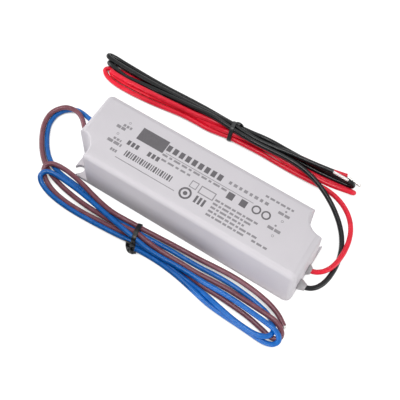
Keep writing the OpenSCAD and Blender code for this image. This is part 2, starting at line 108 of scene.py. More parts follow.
def surface(name, low, high, patch, rough, grain=None, shader=None):
    """A surface whose colour wanders between two shades and whose gloss wanders with it, with a fine relief.

    patch is the width of a patch of colour in millimetres, rough its least and greatest roughness, and grain
    is the width and the depth of the relief in millimetres with its strength.
    """
    made, tree, out = material(name)
    place = node(tree, "ShaderNodeTexCoord").outputs["Object"]
    patches = node(tree, "ShaderNodeTexNoise", {"Scale": 1 / (patch * MM), "Detail": 4, "Roughness": 0.6},
                   {"Vector": place})
    wander = node(tree, "ShaderNodeMapRange", {"From Min": 0.3, "From Max": 0.7}, {"Value": patches.outputs[0]})
    colour = node(tree, "ShaderNodeMix", {"data_type": "RGBA"}, {0: wander.outputs[0]})
    colour.inputs[6].default_value = rgb(low)
    colour.inputs[7].default_value = rgb(high)
    gloss = node(tree, "ShaderNodeMapRange", {"To Min": rough[0], "To Max": rough[1]}, {"Value": patches.outputs[0]})
    links = {"Base Color": colour.outputs[2], "Roughness": gloss.outputs[0]}
    if grain:
        width, depth, strength = grain
        relief = node(tree, "ShaderNodeTexNoise", {"Scale": 1 / (width * MM), "Detail": 3}, {"Vector": place})
        bump = node(tree, "ShaderNodeBump", {"Strength": strength, "Distance": depth * MM},
                    {"Height": relief.outputs[0]})
        links["Normal"] = bump.outputs[0]
    body = node(tree, "ShaderNodeBsdfPrincipled", shader, links)
    tree.links.new(body.outputs[0], out.inputs[0])
    return made


# Moulded polycarbonate: pale grey all through, with a satin grain that spreads the light softly. The mould's
# spark-worn grain is about half as wide as it is drawn
CASE = surface("moulded_polycarbonate", "#d2ced3", "#d6d2d7", 16.67, (0.42, 0.52), (0.111, 0.04, 0.25))
# Moulded polycarbonate of the plate below, a shade darker and duller than the case
PLATE = surface("moulded_polycarbonate_plate", "#c2bec3", "#c9c5ca", 16.67, (0.5, 0.6), (0.143, 0.05, 0.3))
# Cast epoxy resin and the parts set in it: dark and dull, and seen from no side
HIDDEN = surface("cast_epoxy_resin", "#3c3f42", "#46494c", 11.11, (0.6, 0.7))
# Moulded silicone rubber: soft grey, lets a little light through and has only a weak gloss
SEAL = surface("moulded_silicone_rubber", "#bcb9bb", "#d6d3d5", 3.333, (0.4, 0.55), (0.25, 0.05, 0.3),
               {"Transmission Weight": 0.3, "IOR": 1.42})
# Extruded PVC insulation in four colours: smooth, with a narrow gloss along each strand. The shallow waves
# that the strands of copper leave in it are drawn, and nothing finer
PVC = {"Specular IOR Level": 0.3}
WAVES = (0.667, 0.01, 0.2)
BROWN = surface("extruded_pvc_brown", "#7a4650", "#8f5a64", 4.545, (0.22, 0.3), WAVES, PVC)
BLUE = surface("extruded_pvc_blue", "#0a60b4", "#1974cd", 4.545, (0.22, 0.3), WAVES, PVC)
RED = surface("extruded_pvc_red", "#e61630", "#f82841", 4.545, (0.22, 0.3), WAVES, PVC)
BLACK = surface("extruded_pvc_black", "#0c0d0f", "#141619", 4.545, (0.22, 0.3), WAVES, PVC)
# Flat PVC-coated wire strip: near black, creased where it is twisted, duller than the insulation
TIE = surface("pvc_coated_wire_strip", "#121315", "#1e2022", 2, (0.3, 0.42), (0.333, 0.05, 0.4))
# Pad-printed ink: flat dark grey without gloss where it lies thick, and lighter in the fine print
INK = surface("pad_printed_ink", "#5c595d", "#656266", 1.25, (0.5, 0.6))
FAINT_INK = surface("pad_printed_ink_fine", "#8a878b", "#949195", 1.25, (0.5, 0.6))
# Tinned copper strands: bright silver that mirrors the room in thin lines along the twist
TIN = surface("tinned_copper_strands", "#e2e1de", "#f6f5f3", 1.111, (0.25, 0.4), (0.4, 0.04, 0.3),
              {"Metallic": 0.75})

# ---------------------------------------------------------------- cords

WIRE_WIDTH = 2.4 * MM
# Brown wire: root, seal, arc, then four passes of the hank with a fold between each two
BROWN_ROUTE = [
    (-51.6, 1, 5), (-55.56, 1.1, 5), (-58.66, 0.89, 5), (-60.71, 0.85, 5), (-62.57, 1.04, 5),
    (-64.38, 2.12, 4.87), (-67.59, 4.97, 4.54), (-70.82, 7.74, 4.18), (-72.83, 8.96, 4.08),
    (-74.65, 9.68, 3.91), (-76.55, 10.01, 3.82), (-78.42, 9.94, 3.85), (-80.26, 9.51, 3.95),
    (-81.97, 8.7, 3.91), (-84.38, 6.17, 3.7), (-85.34, 4.46, 3.56), (-85.96, 2.59, 3.3), (-86.16, 0.64, 3.03),
    (-85.53, -3.16, 2.7), (-83.65, -7.51, 2.22), (-80.35, -12.56, 1.73), (-76.4, -17.01, 1.42),
    (-71.81, -20.69, 1.25), (-66.61, -23.43, 1.2), (-59.98, -25.49, 1.2), (-52.13, -26.96, 1.2),
    (-44.16, -27.78, 1.23), (-36.11, -28.05, 1.42), (-28.07, -28.13, 1.92), (-20.28, -27.7, 3.12),
    (-17.43, -27.52, 3.66), (-14.62, -27.4, 4.21), (-11.65, -27.77, 4.11), (-5.66, -28.46, 3.87),
    (2.32, -28.72, 3.55), (10.22, -28.45, 2.97), (18.06, -28.17, 2.1), (25.98, -27.52, 1.72),
    (33.99, -27.14, 1.84), (42.07, -27.46, 2.31), (50.25, -28.01, 3.16), (54.48, -28.32, 3.65),
    (58.61, -28.85, 3.79), (60.76, -29.6, 3.56), (62.35, -30.49, 3.18), (63.86, -32.43, 2.38),
    (63.56, -34.06, 1.76), (61.89, -35.06, 1.33), (59.28, -35.12, 1.2), (55.42, -34.34, 1.29),
    (47.51, -32.9, 1.4), (39.52, -32.21, 1.33), (31.52, -31.84, 1.27), (23.53, -31.63, 1.21),
    (15.56, -30.76, 1.2), (7.63, -29.72, 1.2), (-0.29, -28.96, 1.28), (-8.24, -28.68, 1.58),
    (-12.23, -28.77, 1.73), (-16.26, -29.11, 1.73), (-22.38, -29.93, 1.41), (-30.58, -30.71, 1.21),
    (-38.68, -31.3, 1.2), (-46.69, -31.55, 1.2), (-54.47, -31.05, 1.2), (-59.97, -30, 1.21),
    (-64.14, -28.51, 1.32), (-66.82, -27.06, 1.7), (-68.69, -25.6, 2.26), (-70.08, -23.4, 3.2),
    (-69.97, -21.6, 3.71), (-67.94, -19.81, 3.91), (-65.82, -19.15, 3.74), (-62.21, -18.79, 3.34),
    (-57.62, -19.09, 3.19), (-50.53, -20.38, 3.26), (-42.78, -22.36, 3.49), (-35, -24.07, 3.58),
    (-29.09, -24.73, 3.54), (-23.16, -24.49, 3.16), (-18.26, -24.01, 2.49), (-15.33, -23.79, 2.06),
    (-12.37, -23.55, 1.79), (-7.41, -23.13, 1.56), (0.53, -22.54, 1.37), (8.49, -22.08, 1.26),
    (16.46, -21.66, 1.21), (24.44, -21.02, 1.29), (32.42, -20.62, 1.38), (40.41, -20.9, 1.42),
    (48.33, -21.89, 1.45), (54.11, -23.29, 1.45), (58.65, -25.19, 1.38), (62.71, -27.94, 1.2),
]
# Blue wire, under the brown one on its arc, then four passes
BLUE_ROUTE = [
    (-51.6, 9, 5), (-58.59, 9.02, 5), (-61.59, 9.01, 5), (-64.76, 9.32, 4.59), (-68.96, 10.14, 3.72),
    (-71.44, 10.84, 3.07), (-74.83, 11.49, 2.27), (-77.01, 11.47, 1.87), (-78.79, 10.97, 1.51),
    (-80.36, 10.06, 1.35), (-81.79, 8.81, 1.35), (-82.96, 7.34, 1.33), (-84.26, 4.06, 1.31),
    (-84.41, 2.15, 1.31), (-84.29, 0.17, 1.23), (-83.91, -1.75, 1.2), (-82.3, -5.32, 1.25),
    (-79.09, -10.18, 1.23), (-75.14, -14.64, 1.22), (-71.33, -17.66, 1.2), (-66.96, -19.78, 1.2),
    (-62.2, -20.95, 1.2), (-55.25, -21.71, 1.21), (-47.28, -22.43, 1.21), (-39.38, -23.54, 1.2),
    (-31.5, -24.82, 1.2), (-23.56, -25.82, 1.25), (-17.57, -26.18, 1.61), (-12.57, -26.2, 1.78),
    (-5.56, -25.78, 1.61), (2.39, -25.29, 1.42), (10.35, -25.15, 1.26), (18.32, -24.88, 1.22),
    (26.31, -24.33, 1.32), (34.3, -24.26, 1.35), (42.29, -24.85, 1.28), (46.42, -25.35, 1.23),
    (50.55, -26.11, 1.21), (52.84, -26.65, 1.23), (56.09, -28.19, 1.35), (57.85, -29.62, 1.62),
    (59.67, -32.07, 2.49), (60.09, -33.98, 3.22), (59.16, -36.33, 3.93), (57.47, -37.55, 4.09),
    (54.19, -38.45, 4.06), (50.27, -38.58, 4), (43.45, -38.02, 3.7), (35.5, -36.6, 3.25),
    (27.58, -34.87, 2.23), (19.56, -33.72, 1.47), (11.61, -32.64, 1.36), (3.68, -31.71, 1.39),
    (-4.3, -31.17, 1.48), (-11.3, -31.17, 1.71), (-15.25, -31.46, 1.8), (-21.1, -32.18, 1.82),
    (-28.97, -32.87, 1.91), (-36.92, -33.41, 2.08), (-44.9, -33.74, 2.22), (-52.94, -33.44, 2.15),
    (-59.17, -32.57, 2.05), (-61.6, -32, 2.06), (-65.03, -30.85, 2.53), (-66.66, -30.04, 2.99),
    (-67.9, -29.01, 3.6), (-68.68, -27.36, 4.22), (-67.72, -25.18, 4.58), (-66.25, -24.3, 4.44),
    (-64.08, -23.72, 4.06), (-60.51, -23.48, 3.53), (-56.63, -23.59, 3.14), (-48.74, -24.24, 2.98),
    (-40.73, -25.5, 3.23), (-32.65, -27.03, 3.84), (-25.64, -28.43, 4.53), (-19.79, -29.42, 4.7),
    (-15.92, -29.83, 4.4), (-12.99, -30.18, 4.17), (-7.05, -31.01, 3.97), (-0.09, -31.25, 3.83),
    (7.85, -30.87, 3.75), (15.81, -30.7, 3.62), (23.77, -30.63, 3.44), (31.75, -30.32, 3.4),
    (39.77, -30.45, 3.6), (47.81, -31.11, 4.17), (52.62, -31.62, 4.72), (56.11, -32.05, 5.15),
    (60.07, -32.7, 5.27), (61.8, -33.3, 4.94), (63.22, -34.17, 4.51), (64.05, -35.62, 3.6),
    (63.02, -37.52, 2.41), (61.52, -38.25, 1.9), (59.29, -38.67, 1.48), (55.6, -38.73, 1.31),
    (51.67, -38.49, 1.23), (44.82, -38.19, 1.22), (36.81, -37.89, 1.22), (28.88, -37.34, 1.71),
    (21.15, -36.11, 2.58), (13.4, -34.74, 2.94), (5.51, -33.77, 2.93), (-2.49, -33.37, 2.6),
    (-11.56, -33.53, 1.96),
]
# Red wire: root, seal, over the black one, then four passes
RED_ROUTE = [
    (51.6, -1, 5), (55.58, -0.88, 4.97), (58.62, -1.09, 5.02), (61.48, -0.62, 4.94), (63.92, 0.82, 4.75),
    (66.33, 3.81, 4.43), (67.79, 7.51, 4.17), (68.55, 12.46, 3.96), (68.45, 18.35, 3.71),
    (67.37, 23.92, 3.52), (65.61, 28.14, 3.42), (63, 31.88, 3.35), (59.57, 35.01, 3.29), (54.6, 37.83, 3.11),
    (49.01, 39.5, 2.73), (43.11, 40.14, 2.19), (35.09, 40.23, 1.59), (27.06, 40.24, 1.29),
    (19.08, 40.38, 1.31), (11.13, 40.46, 1.52), (3.17, 40.12, 1.71), (-2.83, 39.8, 1.8), (-6.85, 39.68, 1.81),
    (-10.75, 39.14, 1.58), (-17.62, 38.31, 1.34), (-24.63, 38.17, 1.59), (-32.65, 37.9, 1.55),
    (-40.64, 37.04, 1.33), (-48.62, 36.07, 1.21), (-56.6, 35.39, 1.2), (-64.63, 35.09, 1.2),
    (-70.7, 35.34, 1.2), (-74.69, 36, 1.26), (-77.42, 36.92, 1.36), (-78.91, 37.82, 1.65),
    (-79.89, 39.01, 1.74), (-79.12, 40.71, 1.58), (-77.62, 41.6, 1.2), (-74.84, 42.46, 1.2),
    (-70.84, 42.8, 1.2), (-63.73, 42.62, 1.2), (-55.66, 42.43, 1.22), (-47.62, 42.5, 1.34),
    (-39.58, 42.73, 1.57), (-31.56, 42.96, 1.75), (-23.59, 42.89, 1.82), (-15.65, 42.42, 1.77),
    (-8.73, 42.09, 1.77), (-2.8, 42.22, 1.62), (5.16, 42.79, 1.25), (13.11, 43.48, 1.2), (21.09, 43.75, 1.2),
    (29.07, 44, 1.2), (37.11, 44.39, 1.21), (45.24, 44.93, 1.21), (51.54, 45.57, 1.2), (54.87, 45.9, 1.2),
    (56.98, 46.09, 1.35), (58.45, 45.78, 2.06), (58.16, 44.94, 3.13), (56.24, 44.32, 3.47),
    (53.03, 43.5, 3.71), (47.72, 42.77, 3.38), (39.56, 42.41, 2.85), (31.53, 42.21, 2.72),
    (23.62, 42.15, 2.9), (15.82, 42.44, 3.3), (8.84, 42.73, 3.58), (4.73, 42.65, 3.67), (1.07, 42.25, 3.88),
    (-2.07, 41.53, 3.96), (-5.27, 41.05, 3.94), (-7.1, 40.74, 3.96), (-10.13, 40.34, 3.81),
    (-14.02, 40.23, 3.17), (-18.04, 40.3, 2.51), (-25.17, 40.55, 1.86), (-33.29, 40.46, 1.53),
    (-41.27, 39.77, 1.3), (-49.29, 38.82, 1.2), (-57.41, 38.18, 1.2), (-65.69, 37.99, 1.2),
    (-69.88, 38.12, 1.2), (-71.9, 38.26, 1.2), (-73.73, 38.5, 1.33), (-75.65, 38.64, 2.37),
    (-75.55, 38.82, 3.8), (-73.87, 38.66, 4.02), (-71.04, 38.41, 4.13), (-66.89, 38.37, 3.92),
    (-59.71, 38.81, 3.68), (-51.71, 39.17, 3.55), (-43.72, 39.6, 3.64), (-35.68, 40.08, 3.84),
    (-27.67, 40.45, 4.13), (-19.79, 41.36, 4.4), (-11.97, 42.59, 4.12), (-8.05, 43.09, 3.93),
    (-4.18, 43.6, 3.57), (1.54, 44.51, 2.49), (7.2, 45.78, 1.4), (13, 47.26, 1.2), (20.99, 48.44, 1.2),
    (29.01, 49.19, 1.2), (36.98, 49.96, 1.2), (44.89, 51.05, 1.21), (51.75, 52.44, 1.31),
]
# Black wire: root, seal, under the red one and then over it, then four passes
BLACK_ROUTE = [
    (51.6, -9, 5), (55.56, -8.86, 4.98), (58.67, -9.16, 5.02), (60.71, -9.21, 5.03), (63.39, -8.47, 4.85),
    (65.51, -6.74, 4.4), (67.02, -4.34, 3.8), (68.21, -0.62, 2.98), (68.76, 4.31, 2.19), (68.54, 10.21, 1.68),
    (67.35, 15.89, 1.63), (65.05, 21.15, 1.86), (61.77, 25.87, 2.19), (57.03, 30.65, 2.69),
    (50.76, 35.24, 3.45), (43.82, 38.87, 4.32), (37.35, 41.14, 4.94), (30.61, 42.39, 5.36),
    (22.75, 42.63, 5.69), (14.89, 42, 6.04), (7, 41.43, 6.37), (-1.1, 41.58, 6.37), (-4.15, 41.84, 6.24),
    (-7.11, 42.09, 6.21), (-10, 42.3, 6.37), (-16.7, 42.72, 6.55), (-23.6, 42.79, 5.84), (-31.6, 42.59, 4.96),
    (-39.68, 42.31, 4.35), (-47.82, 42, 3.88), (-55.95, 41.57, 3.48), (-63.13, 40.95, 3.17),
    (-68.32, 40.57, 3.15), (-72.8, 41.05, 3.48), (-75.49, 41.68, 3.63), (-78.29, 42.39, 3.39),
    (-79.88, 42.95, 2.72), (-80.69, 44.17, 1.78), (-78.74, 45.17, 1.36), (-76.96, 45.54, 1.21),
    (-72.89, 45.57, 1.2), (-65.52, 45.14, 1.2), (-57.31, 44.85, 1.2), (-49.22, 44.85, 1.2),
    (-41.16, 45.03, 1.2), (-33.11, 45.24, 1.2), (-25.04, 45.22, 1.2), (-17.02, 44.84, 1.25),
    (-11.06, 44.54, 1.57), (-8.14, 44.59, 1.75), (-5.28, 45.06, 1.88), (-2.45, 45.86, 2.1), (2.4, 46.85, 2.8),
    (7.47, 46.73, 3.38), (13.58, 46.2, 3.18), (20.54, 46.25, 2.28), (28.49, 46.53, 1.56),
    (36.48, 46.76, 1.25), (44.58, 47.26, 1.2), (49.78, 47.78, 1.2), (52.84, 48.1, 1.25), (54.64, 48.29, 1.53),
    (56.44, 48.33, 2.74), (55.45, 48.66, 4), (53.74, 48.61, 4.26), (50.74, 48.49, 4.31), (44.56, 48.15, 3.75),
    (36.43, 47.89, 3.42), (28.44, 47.64, 3.71), (20.55, 47.2, 4.51), (13.65, 46.69, 5.53),
    (8.66, 46.29, 5.78), (2.62, 46, 5.09), (-2.37, 45.94, 4.47), (-5.37, 45.91, 4.07), (-8.41, 46.02, 3.63),
    (-13.58, 46.57, 2.78), (-21.92, 47.49, 1.59), (-30.14, 47.7, 1.21), (-38.22, 47.54, 1.2),
    (-46.28, 47.33, 1.2), (-54.33, 47.34, 1.2), (-62.42, 47.56, 1.2), (-70.61, 47.89, 1.2),
    (-75.76, 48.09, 1.26), (-78.73, 48.09, 1.59), (-80.55, 47.86, 2), (-82.76, 47.1, 2.81),
    (-82.54, 45.85, 3.75), (-81.06, 45.2, 3.94), (-79.18, 44.86, 4.04), (-75.11, 44.57, 3.84),
    (-66.96, 44.5, 3.57), (-58.92, 44.41, 3.54), (-50.92, 44.42, 3.57), (-42.92, 44.55, 3.57),
    (-34.94, 44.64, 3.63), (-26.96, 44.7, 3.99), (-18.96, 44.81, 4.72), (-10.95, 44.73, 5.6),
    (-6.95, 44.54, 5.96), (-2.03, 44.04, 5.91), (5.91, 43.75, 5.82), (13.88, 44.32, 5.83),
    (21.8, 45.39, 5.85), (29.72, 46.47, 5.72), (37.66, 47.34, 5.75), (45.64, 48.06, 6.24),
]


def draw(name, points, **settings):
    """A smooth curve through points in millimetres."""
    curve = bpy.data.curves.new(name, "CURVE")
    for key, value in settings.items():
        setattr(curve, key, value)
    spline = curve.splines.new("BEZIER")
    spline.bezier_points.add(len(points) - 1)
    for point, place in zip(spline.bezier_points, points):
        point.co = Vector(place) * MM
        point.handle_left_type = point.handle_right_type = "AUTO"
    made = bpy.data.objects.new(name, curve)
    bpy.context.scene.collection.objects.link(made)
    return made, spline


def add_cord(name, route, insulation):
    """A wire along the points of its route, from its root to its bare end."""
    made, spline = draw(name, route, dimensions="3D", bevel_depth=WIRE_WIDTH / 2, bevel_resolution=4,
                        use_fill_caps=True)
    spline.resolution_u = 5
    made.data.materials.append(insulation)
    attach(made, "root")
    return made


# ---------------------------------------------------------------- helpers for modelled pieces

DOUBLES = 0.002 * MM
NO_TURN = 0.000001


def only(made):
    """Selects one piece alone."""
    bpy.ops.object.select_all(action="DESELECT")
    made.select_set(True)
    bpy.context.view_layer.objects.active = made


def leave_edit():
    """Closes an open mesh."""
    if bpy.context.object and bpy.context.object.mode == "EDIT":
        bpy.ops.object.mode_set(mode="OBJECT")


def begin(kind, **options):
    """Adds a primitive with nothing else selected and opens it in edit mode."""
    leave_edit()
    bpy.ops.object.select_all(action="DESELECT")
    getattr(bpy.ops.mesh, "primitive_" + kind + "_add")(**options)
    bpy.ops.object.mode_set(mode="EDIT")
    return bpy.context.object


def lay(made, matrix=None):
    """Leaves edit mode and puts the piece's place into its mesh."""
    leave_edit()
    only(made)
    if matrix is not None:
        made.matrix_world = matrix
    bpy.ops.object.transform_apply(location=True, rotation=True, scale=True)


def modify(made, kind, **settings):
    """Adds a modifier with its settings and applies it."""
    modifier = made.modifiers.new(kind.lower(), kind)
    for key, value in settings.items():
        setattr(modifier, key, value)
    bpy.context.view_layer.objects.active = made
    bpy.ops.object.modifier_apply(modifier=modifier.name)


def outward():
    """Merges doubles and turns the faces of the open mesh outwards."""
    bpy.ops.mesh.select_all(action="SELECT")
    bpy.ops.mesh.remove_doubles(threshold=DOUBLES)
    bpy.ops.mesh.normals_make_consistent(inside=False)


def join(pieces, name):
    """Makes one piece of several."""
    bpy.ops.object.select_all(action="DESELECT")
    for piece in pieces:
        piece.select_set(True)
    bpy.context.view_layer.objects.active = pieces[0]
    bpy.ops.object.join()
    pieces[0].name = name
    return pieces[0]


def finish(made, name, look, slot, *replaced, angle=35):
    """Names, smooths and dresses a piece, hangs it from the root and hides the solids that it stands for."""
    made.name = name
    made.data.name = name
    made.data.materials.clear()
    made.data.materials.append(look)
    only(made)
    bpy.ops.object.shade_smooth_by_angle(angle=math.radians(angle))
    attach(made, "root")
    if replaced:
        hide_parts(*replaced)
    return made


def pointing(place, way):
    """A turn that lays the local Z axis along a way at a place in millimetres."""
    z = Vector(way).normalized()
    x = Vector((0, 0, 1)).cross(z)
    x = x.normalized() if x.length > NO_TURN else Vector((1, 0, 0))
    axes = Matrix((x, z.cross(x), z)).transposed().to_4x4()
    return Matrix.Translation(Vector(place) * MM) @ axes


# ---------------------------------------------------------------- seals

# Each wire's end of the case, -1 for the supply end, and its place across that end
EXITS = {"brown": (-1, 1), "blue": (-1, 9), "red": (1, -1), "black": (1, -9)}
WIRE_RISE = 5
# Where a collar's foot starts, just inside the wall's face, and where its lip ends
WALL_FACE, COLLAR_END = 58.9, 62.4
# Height over the wall and radius of each ring of a collar: a foot, a domed taper and a lip
COLLAR = [(0, 2.5), (0.35, 2.6), (0.8, 2.5), (1.4, 2.3), (2.2, 2.0), (2.9, 1.75), (3.3, 1.62), (3.4, 1.5)]
COLLAR_BORE = 1.24
# How much of each collar stands out of the wall
COLLAR_SHARE = {"brown": 1, "blue": 1, "red": 0.55, "black": 1}


def add_seal(wire):
    """A collar grown ring by ring round its wire and closed along the bore."""
    side, across = EXITS[wire]
    share = COLLAR_SHARE[wire]
    last, before = COLLAR[0]
    made = begin("circle", vertices=32, radius=before * MM)
    for height, radius in COLLAR[1:] + [(COLLAR[-1][0], COLLAR_BORE), (0, COLLAR_BORE)]:
        bpy.ops.mesh.extrude_region_move(TRANSFORM_OT_translate={"value": (0, 0, (height - last) * MM * share)})
        bpy.ops.transform.resize(value=(radius / before, radius / before, 1), center_override=(0, 0, 0))
        last, before = height, radius
    bpy.ops.mesh.select_all(action="DESELECT")
    bpy.ops.mesh.select_mode(type="EDGE")
    bpy.ops.mesh.select_non_manifold()
    bpy.ops.mesh.bridge_edge_loops()
    outward()
    lay(made, pointing((side * WALL_FACE, across, WIRE_RISE), (side, 0, 0)))
    return finish(made, wire + "_collar", SEAL, "seal_rubber", wire + "_seal")


collars = {wire: add_seal(wire) for wire in EXITS}

# ---------------------------------------------------------------- ties

STRIP_EDGES = {"segments": 2, "limit_method": "ANGLE"}
# Middle line of each tie's loop in its own plane: across the bundle and up
INPUT_STRAP = [
    (-4.05, 4.96), (-4.76, 3.63), (-5.45, 2.29), (-5.25, 0.86), (-3.94, 0.24), (-2.44, 0.24), (-0.93, 0.24),
    (0.58, 0.26), (2.08, 0.36), (3.58, 0.52), (4.91, 1.11), (5.19, 2.53), (4.18, 3.58), (2.86, 4.32),
    (1.55, 5.06), (0.2, 5.7), (-1.31, 5.72), (-2.81, 5.71),
]
OUTPUT_STRAP = [
    (-1.41, 6.93), (-2.19, 5.65), (-2.95, 4.37), (-3.71, 3.08), (-4.21, 1.7), (-3.46, 0.48), (-2.01, 0.27),
    (-0.51, 0.26), (0.98, 0.27), (2.48, 0.3), (3.7, 1.06), (4.49, 2.32), (5.14, 3.65), (4.66, 5.03),
    (3.86, 6.29), (2.87, 7.36), (1.39, 7.5), (-0.11, 7.53),
]


def add_loop(place, turn, outline, width):
    """A flat strip bent round a bundle, drawn in the tie's own plane and then stood up across the bundle."""
    loop, spline = draw("loop", [(across, up, 0) for across, up in outline], dimensions="2D", fill_mode="NONE",
                        extrude=width / 2 * MM)
    spline.use_cyclic_u = True
    spline.resolution_u = 4
    only(loop)
    bpy.ops.object.convert(target="MESH")
    along = Vector((math.cos(math.radians(turn)), math.sin(math.radians(turn)), 0))
    across = Vector((-along.y, along.x, 0))
    axes = Matrix((across, Vector((0, 0, 1)), along)).transposed().to_4x4()
    lay(loop, Matrix.Translation(Vector((*place, 0)) * MM) @ axes)
    bpy.ops.object.mode_set(mode="EDIT")
    outward()
    bpy.ops.object.mode_set(mode="OBJECT")
    modify(loop, "SOLIDIFY", thickness=0.5 * MM, offset=0)
    modify(loop, "BEVEL", width=0.14 * MM, **STRIP_EDGES)
    return loop


def add_tail(route, turns, width):
    """A length of tie strip along its route, turned about itself by so many degrees at each point."""
    strip, spline = draw("tail", route, dimensions="3D", twist_mode="Z_UP", extrude=width / 2 * MM)
    for point, turn in zip(spline.bezier_points, turns):
        point.tilt = math.radians(turn)
    spline.resolution_u = 6
    only(strip)
    bpy.ops.object.convert(target="MESH")
    modify(strip, "SOLIDIFY", thickness=0.55 * MM, offset=0)
    modify(strip, "BEVEL", width=0.12 * MM, **STRIP_EDGES)
    return strip


def add_tie(name, replaced, place, turn, outline, width, tails):
    """A tie: its loop, turned by so many degrees from the case's length, and its twisted tails."""
    strips = [add_loop(place, turn, outline, width)] + [add_tail(*tail) for tail in tails]
    return finish(join(strips, name), name, TIE, "tie_strip", replaced)


# The supply wires' tie: its ends cross in front of the bundle, twist once and splay on the floor. Each tail
# is its route, its turns and its width
input_strap = add_tie("input_strap", "input_tie", (-14.5, -27.4), 15, INPUT_STRAP, 2.1, [
    ([(-12.9, -32.2, 2.6), (-12.6, -33.2, 2.9), (-11.9, -34, 2.4), (-11.2, -34.9, 1.6), (-10.6, -35.6, 1)],
     [90, 60, 150, 240, 270], 2.2),
    ([(-13.2, -32.2, 1.8), (-14.6, -32.9, 2.3), (-16, -32.9, 2.1), (-16.9, -32.6, 1.4)], [60, 20, 0, -20], 2),
    ([(-16.4, -32.9, 1.1), (-14.9, -34.2, 1.1), (-13.4, -35.3, 1.1), (-12, -35.9, 1.1)], [0, 60, 120, 180], 1.9),
    ([(-15.2, -32.4, 1.6), (-14, -33.2, 1.8), (-12.8, -34.2, 1.6), (-11.6, -35.3, 1.1)], [0, 0, 40, 90], 2.2),
])
# The output wires' tie: its twisted ends lie on the rear of the bundle
output_strap = add_tie("output_strap", "output_tie", (-6.5, 42.3), 9, OUTPUT_STRAP, 2, [
    ([(-7.4, 44.7, 6.9), (-6.2, 45.3, 7.2), (-5, 45.9, 6.8), (-4, 46.4, 5.9), (-3.3, 46.8, 4.8)],
     [0, 60, 120, 180, 230], 1.7),
])

# ---------------------------------------------------------------- bare conductors

# The twisted end: its radius, the strands seen round it, and the twist in degrees at each of its steps
TIN_RADIUS, TIN_STRANDS, TIN_STEPS, TIN_TWIST = 0.68, 7, 18, 16
# Share of the radius left at the hollow between two strands, and at the cut tip
TIN_HOLLOW, TIN_TIP = 0.72, 0.7
POINTS_A_STRAND = 4
# Length hidden inside the insulation, of a stripped end, and of a stub in the hank
TIN_ROOT, STRIPPED, STUB = 0.4, 8.4, 1.6
# The stripped ends are bent a little off their wires
RED_TIN_WAY, BLACK_TIN_WAY = (7.2, -1.05, 0), (8.9, 0.35, -1)


def add_tin(name, place, way, length, *replaced):
    """Twisted and tinned strands: a lobed section drawn out and turned step by step."""
    made = begin("circle", vertices=TIN_STRANDS * POINTS_A_STRAND, radius=TIN_RADIUS * MM, fill_type="NGON")
    bpy.ops.object.mode_set(mode="OBJECT")
    for index, vertex in enumerate(made.data.vertices):
        vertex.select = index % POINTS_A_STRAND == 0
    for items in (made.data.edges, made.data.polygons):
        for item in items:
            item.select = False
    bpy.ops.object.mode_set(mode="EDIT")
    bpy.ops.mesh.select_mode(type="VERT")
    bpy.ops.transform.resize(value=(TIN_HOLLOW, TIN_HOLLOW, 1), center_override=(0, 0, 0))
    bpy.ops.mesh.select_all(action="SELECT")
    bpy.ops.mesh.select_mode(type="FACE")
    for _ in range(TIN_STEPS):
        rise = length / TIN_STEPS * MM
        bpy.ops.mesh.extrude_region_move(TRANSFORM_OT_translate={"value": (0, 0, rise)})
        bpy.ops.transform.rotate(value=math.radians(TIN_TWIST), orient_axis="Z", center_override=(0, 0, 0))
    bpy.ops.transform.resize(value=(TIN_TIP, TIN_TIP, 1), center_override=(0, 0, 0))
    outward()
    lay(made, pointing(place, way))
    return finish(made, name, TIN, "tinned_copper", *replaced, angle=60)


def end_of(route):
    """The place just inside the insulation where a route ends, and the way that it runs there."""
    way = (Vector(route[-1]) - Vector(route[-2])).normalized()
    return Vector(route[-1]) - way * TIN_ROOT, way


red_tin = add_tin("red_tin", end_of(RED_ROUTE)[0], RED_TIN_WAY, STRIPPED, "red_tinned_end")
black_tin = add_tin("black_tin", end_of(BLACK_ROUTE)[0], BLACK_TIN_WAY, STRIPPED, "black_tinned_end")
brown_tin = add_tin("brown_tin", *end_of(BROWN_ROUTE), STUB)
blue_tin = add_tin("blue_tin", *end_of(BLUE_ROUTE), STUB)

# ---------------------------------------------------------------- case

# How far apart two points of the solid may be and still be one, and its flat faces' greatest turn in degrees
CASE_DOUBLES, CASE_FLAT = 0.005 * MM, 1
# The small round that the mould leaves on edges sharper than so many degrees
CASE_EDGE, CASE_SHARP = 0.3 * MM, 40


def add_case():
    """The moulded case with a small round on each edge."""
    source = NODES["case_shell"]
    bpy.ops.object.select_all(action="DESELECT")
    made = bpy.data.objects.new("moulded_case", source.data.copy())
    bpy.context.scene.collection.objects.link(made)
    made.matrix_world = source.matrix_world.copy()
    lay(made)
    bpy.ops.object.mode_set(mode="EDIT")
    bpy.ops.mesh.select_all(action="SELECT")
    bpy.ops.mesh.remove_doubles(threshold=CASE_DOUBLES)
    bpy.ops.mesh.dissolve_limited(angle_limit=math.radians(CASE_FLAT))
    bpy.ops.object.mode_set(mode="OBJECT")
    modify(made, "BEVEL", width=CASE_EDGE, segments=2, limit_method="ANGLE", angle_limit=math.radians(CASE_SHARP))
    finish(made, "moulded_case", CASE, "case_plastic", "case_shell", angle=32)


add_case()

# ---------------------------------------------------------------- marks printed on the roof

ROOF = 26
# How far the ink stands over the roof, and how far it reaches into it
INK_HEIGHT, INK_ROOT = 0.03, 0.01


def raise_ink(made):
    """Gives a flat mark its thickness."""
    bpy.ops.mesh.select_all(action="SELECT")
    bpy.ops.mesh.extrude_region_move(TRANSFORM_OT_translate={"value": (0, 0, (INK_HEIGHT + INK_ROOT) * MM)})
    outward()
    lay(made)
    return made


def hollow(line):
    """Leaves only a line of the open mark, along its edge."""
    bpy.ops.mesh.select_all(action="SELECT")
    bpy.ops.mesh.inset(thickness=line * MM)
    bpy.ops.mesh.delete(type="FACE")


